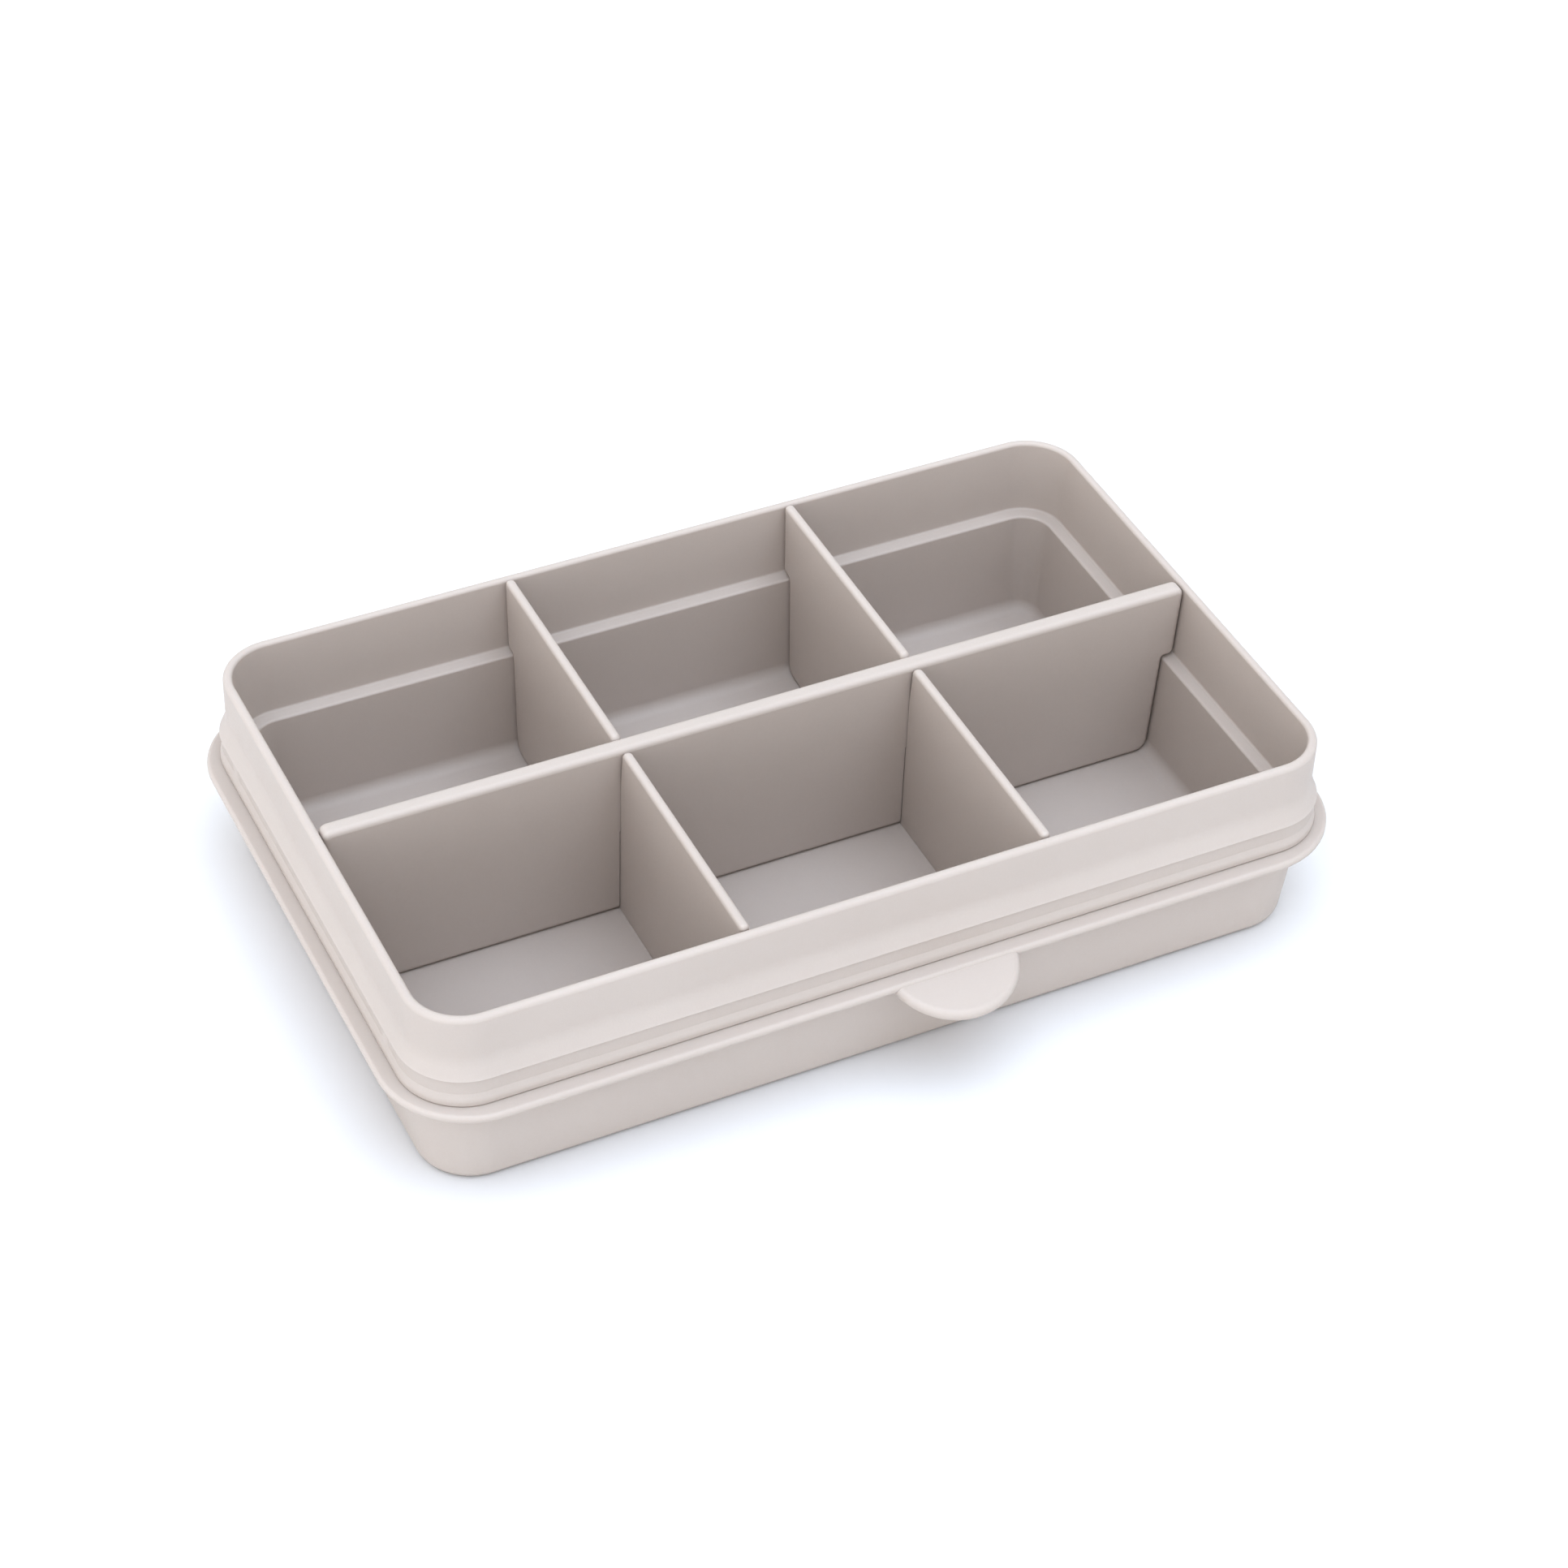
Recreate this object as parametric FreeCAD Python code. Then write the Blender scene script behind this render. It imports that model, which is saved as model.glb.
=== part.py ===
import FreeCAD, Part
import math
import os

from FreeCAD import Vector

# A lunch box of five mouldings, in millimetres: an open box with three half-lapped dividers,
# standing in its own lid, which lies upside down under it as a tray.
# +Z is up, X runs along the long side and the pull tab is on the -Y side.
# The origin is the middle of the face that the lid stands on.

# Box opening, measured inside the rim
RIM_LENGTH = 196.0
RIM_WIDTH = 118.4
RIM_CORNER = 10.2

# Box heights, with the outside stacked from the rim downwards
BOX_HEIGHT = 44.9
NECK_HEIGHT = 10.7
FLARE_HEIGHT = 4.0
GROOVE_HEIGHT = 3.6
BEAD_HEIGHT = 2.95
LEDGE_BELOW_RIDGE = 2.8  # the ledge round the inside, below the sharp ridge outside
LEDGE_FALL = 0.4         # the ledge slopes down towards the middle

# Box walls
WALL = 1.7
RIM_THICKNESS = 2.0
RIM_ROUND = 1.1
RIM_INNER_ROUND = 0.8
COLLAR_SLOPE = 2.8       # degrees that the inside leans in, above the ledge
BODY_SLOPE = 3.2         # degrees that the wall leans in, below the ledge
LEDGE_WIDTH = 2.7
FLOOR_FILLET = 3.0
BASE_ROUND = 2.0
RIDGE_REACH = 1.6        # ridge beyond the neck
FLARE_ROUND = 8.0
GROOVE_CUT = 0.45        # groove behind the ridge
BEAD_REACH = 0.6         # bead beyond the groove
BEAD_EASE = 1.5          # fall of the bead's upper face
BEAD_ROUND = 3.0         # between that face and the bead's side
SKIRT_WALL = 1.0
LAND_WIDTH = 2.4         # bridges that break the groove on the short sides
LAND_FROM_CORNER = 5.6   # from the start of the corner round to a bridge

# Lid, which the box stands in
FLANGE_GAP = 0.05        # between the skirt of the box and the flange under it
NEST_GAP = 1.65          # between the foot of the box and the lid wall
SHUT_GAP = 1.0           # between the rim and the lid opening when the box is shut
LID_WALL = 1.5
LID_FLOOR = 1.6
LID_SLOPE = 5.8          # degrees that the lid wall leans
LID_CORNER_EASE = 1.8    # the lid's corners are rounder than the rim's
LID_BASE_ROUND = 2.5
LID_FLOOR_FILLET = 1.5
FLANGE_THICKNESS = 1.9
FLANGE_WIDTH = 4.1       # flange beyond the lid opening
FLANGE_ROUND = 0.85
SEAT_DEPTH = 3.8         # flange top to the seat that takes the rim when the box is shut

# Pull tab of the lid
TAB_PLACE = 10.85        # right of the middle of the long side
TAB_WIDTH = 27.6
TAB_REACH = 11.05
TAB_THICKNESS = 2.0
TAB_DROOP = 12.0         # degrees down from level
TAB_STEP = 0.5           # tab face below the flange top
TAB_ROUND = 1.3          # upper edge of the tab
TAB_UNDER_ROUND = 0.3    # lower edge of the tab

# Dividers
LONG_THICKNESS = 4.0
SHORT_THICKNESS = 2.1
SHORT_PLACE = 33.0       # short dividers left and right of the middle
LONG_ABOVE_RIM = 0.5
SHORT_ABOVE_RIM = 0.4
LONG_END_ROUND = 1.7
SHORT_END_ROUND = 1.0
SHOULDER_ROUND = 1.5     # where a divider steps in over the ledge
LONG_EDGE_ROUND = 1.2
SHORT_EDGE_ROUND = 0.9
MOUTH_ROUND = 1.5        # at the mouth of the slots that show from above
END_GAP = 0.2            # divider ends to the box wall
LAP_GAP = 0.15           # clearance on each side of a half lap

# Small edge rounds of the mouldings
FINE_ROUND = 0.3
SOFT_ROUND = 0.6

# Largest share of a wall that an edge round takes
ROUND_SHARE = 0.45
TAB_ROUND_SHARE = 0.65   # for the upper edge of the tab, which leaves the rest to its lower edge


def lean(slope, drop):
    """Sideways shift of a wall that leans by slope degrees over a drop."""
    return drop * math.tan(math.radians(slope))


# Heights that follow from the sizes above
BOX_BASE = LID_FLOOR
BOX_FLOOR = BOX_BASE + WALL
RIM_TOP = BOX_BASE + BOX_HEIGHT
NECK_END = RIM_TOP - NECK_HEIGHT
RIDGE = NECK_END - FLARE_HEIGHT
BEAD_TOP = RIDGE - GROOVE_HEIGHT
SKIRT_END = BEAD_TOP - BEAD_HEIGHT
LEDGE_TOP = RIDGE - LEDGE_BELOW_RIDGE
LAP_HEIGHT = (BOX_FLOOR + RIM_TOP) / 2
LID_HEIGHT = SKIRT_END - FLANGE_GAP
SEAT_TOP = LID_HEIGHT - SEAT_DEPTH

# Offsets outwards from the inside line of the rim
LEDGE_OUTER = -lean(COLLAR_SLOPE, RIM_TOP - LEDGE_TOP)
LEDGE_INNER = LEDGE_OUTER - LEDGE_WIDTH
BODY_INSIDE_BASE = LEDGE_INNER - lean(BODY_SLOPE, LEDGE_TOP - LEDGE_FALL - BOX_FLOOR)
BODY_OUTSIDE_BASE = BODY_INSIDE_BASE + WALL - lean(BODY_SLOPE, BOX_FLOOR - BOX_BASE)
RIDGE_OUTSIDE = RIM_THICKNESS + RIDGE_REACH
GROOVE_OUTSIDE = RIDGE_OUTSIDE - GROOVE_CUT
LID_OPENING = RIM_THICKNESS + SHUT_GAP
FLANGE_OUTSIDE = LID_OPENING + FLANGE_WIDTH
LID_CORNER = RIM_CORNER + LID_CORNER_EASE


def corner_arc(before, corner, after, tangent):
    """Arc that starts and ends at the tangent length from a corner."""
    to_before = (before - corner).normalize()
    to_after = (after - corner).normalize()
    half_angle = to_before.getAngle(to_after) / 2
    radius = tangent * math.tan(half_angle)
    bisector = (to_before + to_after).normalize()
    middle = corner + bisector * (radius / math.sin(half_angle) - radius)
    return Part.Arc(corner + to_before * tangent, middle, corner + to_after * tangent)


def rounded_outline(corners):
    """Closed face in the XZ plane from (x, z, radius) corners, each rounded by an arc.

    Two rounds that meet on a side too short for both shrink until they fit.
    """
    count = len(corners)
    points = [Vector(x, 0, z) for x, z, radius in corners]
    tangents = []
    for index in range(count):
        to_before = points[index - 1] - points[index]
        to_after = points[(index + 1) % count] - points[index]
        half_angle = to_before.getAngle(to_after) / 2
        tangents.append(corners[index][2] / math.tan(half_angle))
    shares = [1.0] * count
    for index in range(count):
        before = index - 1
        needed = tangents[before] + tangents[index]
        length = points[before].distanceToPoint(points[index])
        if needed > length:
            shares[before] = min(shares[before], length / needed)
            shares[index] = min(shares[index], length / needed)
    arcs = []
    starts = []
    ends = []
    for index in range(count):
        tangent = tangents[index] * shares[index]
        if tangent == 0:
            arcs.append(None)
            starts.append(points[index])
            ends.append(points[index])
            continue
        arc = corner_arc(points[index - 1], points[index], points[(index + 1) % count], tangent)
        arcs.append(arc)
        starts.append(arc.StartPoint)
        ends.append(arc.EndPoint)
    edges = []
    for index in range(count):
        if not ends[index - 1].isEqual(starts[index], FreeCAD.Base.Precision.confusion()):
            edges.append(Part.LineSegment(ends[index - 1], starts[index]).toShape())
        if arcs[index] is not None:
            edges.append(arcs[index].toShape())
    return Part.Face(Part.Wire(edges))


def swept_tub(profile, floor_bottom, floor_top, corner):
    """Tub whose wall profile, in offsets from the rim line, goes round a rounded rectangle.

    The profile reaches in to the corner axis, and a plate closes the floor between the axes.
    """
    half_length = RIM_LENGTH / 2 - corner
    half_width = RIM_WIDTH / 2 - corner
    upright = Vector(0, 0, 1)
    pieces = [Part.makeBox(2 * half_length, 2 * half_width, floor_top - floor_bottom,
                           Vector(-half_length, -half_width, floor_bottom))]
    face = rounded_outline(profile)
    face.translate(Vector(corner, 0, 0))
    for quarter in range(4):
        along_x = quarter % 2 == 1
        reach, run = (half_width, half_length) if along_x else (half_length, half_width)
        side = face.copy()
        side.translate(Vector(reach, -run, 0))
        side = side.extrude(Vector(0, 2 * run, 0))
        turn = face.revolve(Vector(0, 0, 0), upright, 90)
        turn.translate(Vector(reach, run, 0))
        for piece in (side, turn):
            piece.rotate(Vector(0, 0, 0), upright, 90 * quarter)
            pieces.append(piece)
    return pieces[0].multiFuse(pieces[1:]).removeSplitter()


def box_profile():
    """Section through the box wall, as offsets from the rim line and heights."""
    web_under = LEDGE_TOP - LEDGE_FALL - WALL
    body_outside_top = BODY_OUTSIDE_BASE + lean(BODY_SLOPE, web_under - BOX_BASE)
    hollow_inside = LEDGE_OUTER + WALL
    skirt_inside = GROOVE_OUTSIDE - SKIRT_WALL
    bead_outside = GROOVE_OUTSIDE + BEAD_REACH
    return [
        (-RIM_CORNER, BOX_BASE, 0),
        (BODY_OUTSIDE_BASE, BOX_BASE, BASE_ROUND),
        (body_outside_top, web_under, FINE_ROUND),
        (hollow_inside, web_under, FINE_ROUND),
        (hollow_inside, RIDGE, FINE_ROUND),
        (skirt_inside, RIDGE, FINE_ROUND),
        (skirt_inside, SKIRT_END, FINE_ROUND),
        (bead_outside, SKIRT_END, FINE_ROUND),
        (bead_outside, BEAD_TOP - BEAD_EASE, BEAD_ROUND),
        (GROOVE_OUTSIDE, BEAD_TOP, FINE_ROUND),
        (GROOVE_OUTSIDE, RIDGE, 0),
        (RIDGE_OUTSIDE, RIDGE, 0),
        (RIM_THICKNESS, NECK_END, FLARE_ROUND),
        (RIM_THICKNESS, RIM_TOP, RIM_ROUND),
        (0, RIM_TOP, RIM_INNER_ROUND),
        (LEDGE_OUTER, LEDGE_TOP, SOFT_ROUND),
        (LEDGE_INNER, LEDGE_TOP - LEDGE_FALL, SOFT_ROUND),
        (BODY_INSIDE_BASE, BOX_FLOOR, FLOOR_FILLET),
        (-RIM_CORNER, BOX_FLOOR, 0),
    ]


def groove_lands():
    """Four short bridges across the groove, on the short sides beside the corners."""
    inside = RIM_LENGTH / 2 + GROOVE_OUTSIDE - SKIRT_WALL / 2
    outside = RIM_LENGTH / 2 + RIDGE_OUTSIDE
    start = RIM_WIDTH / 2 - RIM_CORNER - LAND_FROM_CORNER - LAND_WIDTH
    land = Part.makeBox(outside - inside, LAND_WIDTH, GROOVE_HEIGHT, Vector(inside, start, BEAD_TOP))
    back_pair = [land, land.mirror(Vector(0, 0, 0), Vector(1, 0, 0))]
    front_pair = [piece.mirror(Vector(0, 0, 0), Vector(0, 1, 0)) for piece in back_pair]
    return back_pair + front_pair


def make_box():
    tub = swept_tub(box_profile(), BOX_BASE, BOX_FLOOR, RIM_CORNER)
    return tub.multiFuse(groove_lands()).removeSplitter()


def lid_profile():
    """Section through the lid wall, as it lies upside down."""
    wall_inside_base = BODY_OUTSIDE_BASE + NEST_GAP
    wall_inside_top = wall_inside_base + lean(LID_SLOPE, SEAT_TOP - LID_FLOOR)
    wall_outside_base = wall_inside_base + LID_WALL - lean(LID_SLOPE, LID_FLOOR)
    wall_end = SEAT_TOP - (LID_OPENING - wall_inside_top) - LID_WALL / 2
    wall_outside_top = wall_outside_base + lean(LID_SLOPE, wall_end)
    band_outside = LID_OPENING + LID_WALL
    band_end = wall_end + band_outside - wall_outside_top
    flange_under = LID_HEIGHT - FLANGE_THICKNESS
    return [
        (-LID_CORNER, 0, 0),
        (wall_outside_base, 0, LID_BASE_ROUND),
        (wall_outside_top, wall_end, SOFT_ROUND),
        (band_outside, band_end, SOFT_ROUND),
        (band_outside, flange_under, FINE_ROUND),
        (FLANGE_OUTSIDE, flange_under, FLANGE_ROUND),
        (FLANGE_OUTSIDE, LID_HEIGHT, FLANGE_ROUND),
        (LID_OPENING, LID_HEIGHT, SOFT_ROUND),
        (LID_OPENING, SEAT_TOP, FINE_ROUND),
        (wall_inside_top, SEAT_TOP, SOFT_ROUND),
        (wall_inside_base, LID_FLOOR, LID_FLOOR_FILLET),
        (-LID_CORNER, LID_FLOOR, 0),
    ]


def round_curve(plate, height, radius):
    """Rounds the curved edges of a level plate that lie at a height."""
    edges = []
    for edge in plate.Edges:
        curved = isinstance(edge.Curve, Part.Circle)
        if curved and math.isclose(edge.Curve.Center.z, height, abs_tol=radius / 2):
            edges.append(edge)
    return plate.makeFillet(radius, edges)


def make_tab():
    """Pull tab with an arc for its outline, which droops outwards from the flange edge."""
    half_width = TAB_WIDTH / 2
    root = FLANGE_WIDTH / 2
    left = Vector(-half_width, 0, 0)
    right = Vector(half_width, 0, 0)
    curve = Part.Arc(left, Vector(0, -TAB_REACH, 0), right).toShape()
    corners = [right, Vector(half_width, root, 0), Vector(-half_width, root, 0), left]
    outline = Part.Wire([curve] + Part.makePolygon(corners).Edges)
    plate = Part.Face(outline).extrude(Vector(0, 0, -TAB_THICKNESS))
    upper_round = min(TAB_ROUND, TAB_ROUND_SHARE * TAB_THICKNESS)
    under_round = min(TAB_UNDER_ROUND, (1 - TAB_ROUND_SHARE) * ROUND_SHARE * TAB_THICKNESS)
    plate = round_curve(plate, 0, upper_round)
    plate = round_curve(plate, -TAB_THICKNESS, under_round)
    plate.rotate(Vector(0, 0, 0), Vector(1, 0, 0), TAB_DROOP)
    flange_edge = RIM_WIDTH / 2 + FLANGE_OUTSIDE - FLANGE_ROUND / 2
    plate.translate(Vector(TAB_PLACE, -flange_edge, LID_HEIGHT - TAB_STEP))
    return plate


def make_lid():
    tub = swept_tub(lid_profile(), 0, LID_FLOOR, LID_CORNER)
    return tub.fuse(make_tab()).removeSplitter()


def divider_plate(opening, thickness, above_rim, end_round, edge_round):
    """Plate across the box along X, with ends that follow the stepped inside wall."""
    half = opening / 2 - END_GAP
    top = RIM_TOP + above_rim
    shoulder = LEDGE_TOP + END_GAP
    right_end = [
        (half + BODY_INSIDE_BASE, BOX_FLOOR, FLOOR_FILLET + END_GAP),
        (half + LEDGE_INNER, shoulder, SOFT_ROUND),
        (half - lean(COLLAR_SLOPE, RIM_TOP - shoulder), shoulder, SHOULDER_ROUND),
        (half + lean(COLLAR_SLOPE, above_rim), top, end_round),
    ]
    left_end = [(-x, z, radius) for x, z, radius in reversed(right_end)]
    plate = rounded_outline(right_end + left_end).extrude(Vector(0, thickness, 0))
    plate.translate(Vector(0, -thickness / 2, 0))
    outline_edges = [edge for edge in plate.Edges if edge.BoundBox.YLength < thickness / 2]
    return plate.makeFillet(min(edge_round, ROUND_SHARE * thickness), outline_edges)


def slot_from_below(place):
    """Block that cuts a half-lap slot for a short divider, open at the bottom of a plate along X."""
    width = SHORT_THICKNESS + 2 * LAP_GAP
    return Part.makeBox(width, RIM_WIDTH, LAP_HEIGHT + LAP_GAP, Vector(place - width / 2, -RIM_WIDTH / 2, 0))


def slot_from_above(top):
    """Block that cuts a half-lap slot for the long divider, with a rounded mouth at the top of a plate."""
    half = LONG_THICKNESS / 2 + LAP_GAP
    arm = half + 2 * MOUTH_ROUND
    right_side = [
        (half, LAP_HEIGHT, 0),
        (half, top, MOUTH_ROUND),
        (arm, top, 0),
        (arm, top + MOUTH_ROUND, 0),
    ]
    left_side = [(-x, z, radius) for x, z, radius in reversed(right_side)]
    block = rounded_outline(right_side + left_side).extrude(Vector(0, RIM_WIDTH, 0))
    block.translate(Vector(0, -RIM_WIDTH / 2, 0))
    return block


def make_long_divider():
    plate = divider_plate(RIM_LENGTH, LONG_THICKNESS, LONG_ABOVE_RIM, LONG_END_ROUND, LONG_EDGE_ROUND)
    return plate.cut([slot_from_below(place) for place in (-SHORT_PLACE, SHORT_PLACE)])


def make_short_divider(place):
    plate = divider_plate(RIM_WIDTH, SHORT_THICKNESS, SHORT_ABOVE_RIM, SHORT_END_ROUND, SHORT_EDGE_ROUND)
    plate = plate.cut(slot_from_above(RIM_TOP + SHORT_ABOVE_RIM))
    plate.rotate(Vector(0, 0, 0), Vector(0, 0, 1), 90)
    plate.translate(Vector(place, 0, 0))
    return plate


NODES = {
    "lid": make_lid(),
    "box": make_box(),
    "long_divider": make_long_divider(),
    "short_divider_left": make_short_divider(-SHORT_PLACE),
    "short_divider_right": make_short_divider(SHORT_PLACE),
}

os.makedirs("parts", exist_ok=True)
for name, shape in NODES.items():
    print(name, "solids", len(shape.Solids), "valid", shape.isValid(), "volume", round(shape.Volume))
    shape.Solids[0].exportStep("parts/" + name + ".step")
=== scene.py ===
import math

import bpy
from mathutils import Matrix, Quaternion, Vector


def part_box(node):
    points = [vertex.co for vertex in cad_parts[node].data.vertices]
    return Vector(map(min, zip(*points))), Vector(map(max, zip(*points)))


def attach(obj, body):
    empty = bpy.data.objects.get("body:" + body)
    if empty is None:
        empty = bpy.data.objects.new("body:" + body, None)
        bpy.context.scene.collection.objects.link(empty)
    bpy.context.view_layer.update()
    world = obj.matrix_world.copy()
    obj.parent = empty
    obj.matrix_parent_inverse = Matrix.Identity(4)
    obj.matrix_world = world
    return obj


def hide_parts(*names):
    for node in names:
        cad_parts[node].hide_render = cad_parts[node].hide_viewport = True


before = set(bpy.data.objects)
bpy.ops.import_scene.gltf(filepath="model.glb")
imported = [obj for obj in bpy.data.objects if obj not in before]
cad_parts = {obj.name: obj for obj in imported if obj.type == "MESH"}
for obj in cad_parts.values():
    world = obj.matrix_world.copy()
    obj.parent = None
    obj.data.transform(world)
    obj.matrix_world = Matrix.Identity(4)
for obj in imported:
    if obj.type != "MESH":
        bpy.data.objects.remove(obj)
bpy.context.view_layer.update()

# A lunch box of matt plastic: an open box with three half-lapped dividers, standing in its own lid.
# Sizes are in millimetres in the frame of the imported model: +Z is up, X runs along the long side,
# the pull tab is on the -Y side and the origin is the middle of the face that the lid stands on.
MM = 0.001

# Extent of the box and height of the lid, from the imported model
BOX_LOW, BOX_HIGH = [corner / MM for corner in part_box("box")]
LID_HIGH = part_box("lid")[1] / MM
BOX_BASE = BOX_LOW.z
RIM_TOP = BOX_HIGH.z
LID_HEIGHT = LID_HIGH.z

# Outside of the box, stacked from the rim downwards
NECK_HEIGHT = 10.7
FLARE_HEIGHT = 4.0
GROOVE_HEIGHT = 3.6
BEAD_HEIGHT = 2.95
RIDGE_REACH = 1.6        # ridge beyond the neck
FLARE_ROUND = 8.0
GROOVE_CUT = 0.45        # groove behind the ridge
BEAD_REACH = 0.6         # bead beyond the groove
BEAD_EASE = 1.5          # fall of the bead's upper face
BEAD_ROUND = 3.0         # between that face and the bead's side
LAND_WIDTH = 2.4         # bridges that break the groove on the short sides
LAND_FROM_CORNER = 5.6   # from the start of the corner round to a bridge
LAND_SINK = 1.3          # depth that a bridge is let into the bead
LAND_EASE = 0.05         # how far a bridge stays behind the ridge, and is let into it from below
LAND_ROOT = 0.28         # depth of a bridge's middle inside the groove wall
LAND_SOFT = 0.3          # how far a bridge runs out into the groove wall on each side
LAND_STEPS = 40          # straight steps round a bridge

# Walls and inside of the box
WALL = 1.7
RIM_THICKNESS = 2.0
RIM_ROUND = 1.1
RIM_INNER_ROUND = 0.8
RIM_CORNER = 10.2
COLLAR_SLOPE = 2.8       # degrees that the inside leans in, above the ledge
BODY_SLOPE = 3.2         # degrees that the wall leans in, below the ledge
LEDGE_BELOW_RIDGE = 2.8
LEDGE_FALL = 0.4
LEDGE_WIDTH = 2.7
FLOOR_FILLET = 3.0
BASE_ROUND = 2.0
SKIRT_WALL = 1.0

# Lid
NEST_GAP = 1.65          # between the foot of the box and the lid wall
SHUT_GAP = 1.0           # between the rim and the lid opening when the box is shut
LID_WALL = 1.5
LID_FLOOR = 1.6
LID_SLOPE = 5.8          # degrees that the lid wall leans
LID_CORNER = 12.0
LID_BASE_ROUND = 2.5
LID_FLOOR_FILLET = 1.5
FLANGE_THICKNESS = 1.9
FLANGE_WIDTH = 4.1
FLANGE_ROUND = 0.85
SEAT_DEPTH = 3.8         # flange top to the seat that takes the rim when the box is shut

# Pull tab of the lid
TAB_PLACE = 10.85        # right of the middle of the long side
TAB_WIDTH = 27.6
TAB_REACH = 11.02        # a hair short of the solid tab, to stay inside the model's box
TAB_THICKNESS = 2.0
TAB_DROOP = 12.0         # degrees down from level
TAB_STEP = 0.5           # tab face below the flange top
TAB_ROUND = 1.3          # upper edge of the tab
TAB_UNDER_ROUND = 0.3    # lower edge of the tab
TAB_STEPS = 40           # straight steps round the tab's curve

# Dividers
LONG_THICKNESS = 4.0
SHORT_THICKNESS = 2.1
SHORT_PLACE = 33.0       # short dividers left and right of the middle
LONG_ABOVE_RIM = 0.5
SHORT_ABOVE_RIM = 0.4
LONG_END_ROUND = 1.7
SHORT_END_ROUND = 1.0
SHOULDER_ROUND = 1.5     # where a divider steps in over the ledge
LONG_EDGE_ROUND = 1.2
SHORT_EDGE_ROUND = 0.9
MOUTH_ROUND = 1.5        # at the mouth of the slots that show from above
END_GAP = 0.2            # divider ends to the box wall
LAP_GAP = 0.15           # clearance on each side of a half lap
FOOT_GAP = 0.02          # keeps the divider feet clear of the floor that they stand on

# Small edge rounds of the mouldings, the steps that rounds are made of, and what counts as sharp
FINE_ROUND = 0.3
SOFT_ROUND = 0.6
ROUND_STEPS = 6
CORNER_STEPS = 24
BEVEL_STEPS = 5
SHARP_ANGLE = math.radians(50)
WELD = 0.004             # points nearer to each other than this become one


def lean(slope, drop):
    """Sideways shift of a wall that leans by slope degrees over a drop."""
    return drop * math.tan(math.radians(slope))


# Heights that follow from the sizes above
BOX_FLOOR = BOX_BASE + WALL
NECK_END = RIM_TOP - NECK_HEIGHT
RIDGE = NECK_END - FLARE_HEIGHT
BEAD_TOP = RIDGE - GROOVE_HEIGHT
SKIRT_END = BEAD_TOP - BEAD_HEIGHT
LEDGE_TOP = RIDGE - LEDGE_BELOW_RIDGE
LAP_HEIGHT = (BOX_FLOOR + RIM_TOP) / 2
DIVIDER_FOOT = BOX_FLOOR + FOOT_GAP
SEAT_TOP = LID_HEIGHT - SEAT_DEPTH

# Offsets outwards from the inside line of the rim
LEDGE_OUTER = -lean(COLLAR_SLOPE, RIM_TOP - LEDGE_TOP)
LEDGE_INNER = LEDGE_OUTER - LEDGE_WIDTH
BODY_INSIDE_BASE = LEDGE_INNER - lean(BODY_SLOPE, LEDGE_TOP - LEDGE_FALL - BOX_FLOOR)
BODY_OUTSIDE_BASE = BODY_INSIDE_BASE + WALL - lean(BODY_SLOPE, BOX_FLOOR - BOX_BASE)
RIDGE_OUTSIDE = RIM_THICKNESS + RIDGE_REACH
GROOVE_OUTSIDE = RIDGE_OUTSIDE - GROOVE_CUT
BEAD_OUTSIDE = GROOVE_OUTSIDE + BEAD_REACH
LID_OPENING = RIM_THICKNESS + SHUT_GAP
FLANGE_OUTSIDE = LID_OPENING + FLANGE_WIDTH

# Opening of the box, inside the rim; the bead is the widest part of the box
RIM_LENGTH = BOX_HIGH.x - BOX_LOW.x - 2 * BEAD_OUTSIDE
RIM_WIDTH = BOX_HIGH.y - BOX_LOW.y - 2 * BEAD_OUTSIDE

# Finish of the plastic
LIGHT_TONE = (0.612, 0.558, 0.520, 1.0)
DEEP_TONE = (0.561, 0.505, 0.468, 1.0)
CLOUD_SIZE = 42.0        # broad, faint drift of the tone
CLOUD_DETAIL = 3.0
CLOUD_SHARE = 0.7        # part of the drift in the tone
GRAIN_SIZE = 0.45        # fine moulded grain
GRAIN_DETAIL = 2.0
GRAIN_SHARE = 0.3        # part of the grain in the tone
GRAIN_HEIGHT = 0.012
SWELL_SIZE = 24.0        # long shallow waves of a moulded wall
SWELL_DETAIL = 1.0
SWELL_HEIGHT = 0.05
NOISE_ROUGHNESS = 0.5    # weight of the finer steps of a noise
NOISE_MIDDLE = 0.5       # halfway between its lowest and its highest
ROUGHNESS = 0.52
ROUGHNESS_SPREAD = 0.14
SPECULAR = 0.42
TRANSLUCENCY = 0.12
SCATTER_DEPTH = 2.0
SCATTER_REACH = (1.0, 0.85, 0.75)   # of red, green and blue light, as shares of that depth

# Shifts of the pattern in metres, so that the lid, the box and the dividers don't carry the same drifts
LID_SHIFT = 0.0
BOX_SHIFT = 0.31
DIVIDER_SHIFT = 0.67

# Floor and light of the studio: an even sky, a soft bright patch overhead and a low glow at the front left
FLOOR_HALF = 6000.0
FLOOR_TONE = (0.80, 0.797, 0.80, 1.0)
FLOOR_ROUGHNESS = 0.9
FLOOR_SPECULAR = 0.1
SKY_TONE = (0.99, 0.995, 1.0, 1.0)
SKY_STRENGTH = 0.95
PATCH_TONE = (0.925, 1.07, 1.26, 1.0)
PATCH_STRENGTH = 1.6
PATCH_WAY = (0.0, -0.26, 0.966)
PATCH_BEGINS = 0.72      # nearness to that way where the patch begins
PATCH_FULL = 0.95        # and where it has its full strength
GLOW_STRENGTH = 1.09
GLOW_SIDE = (-0.95, -0.3, 0.0)
CONTRAST = 1.4           # power that the tones are raised to, for the contrast of the photograph

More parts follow.
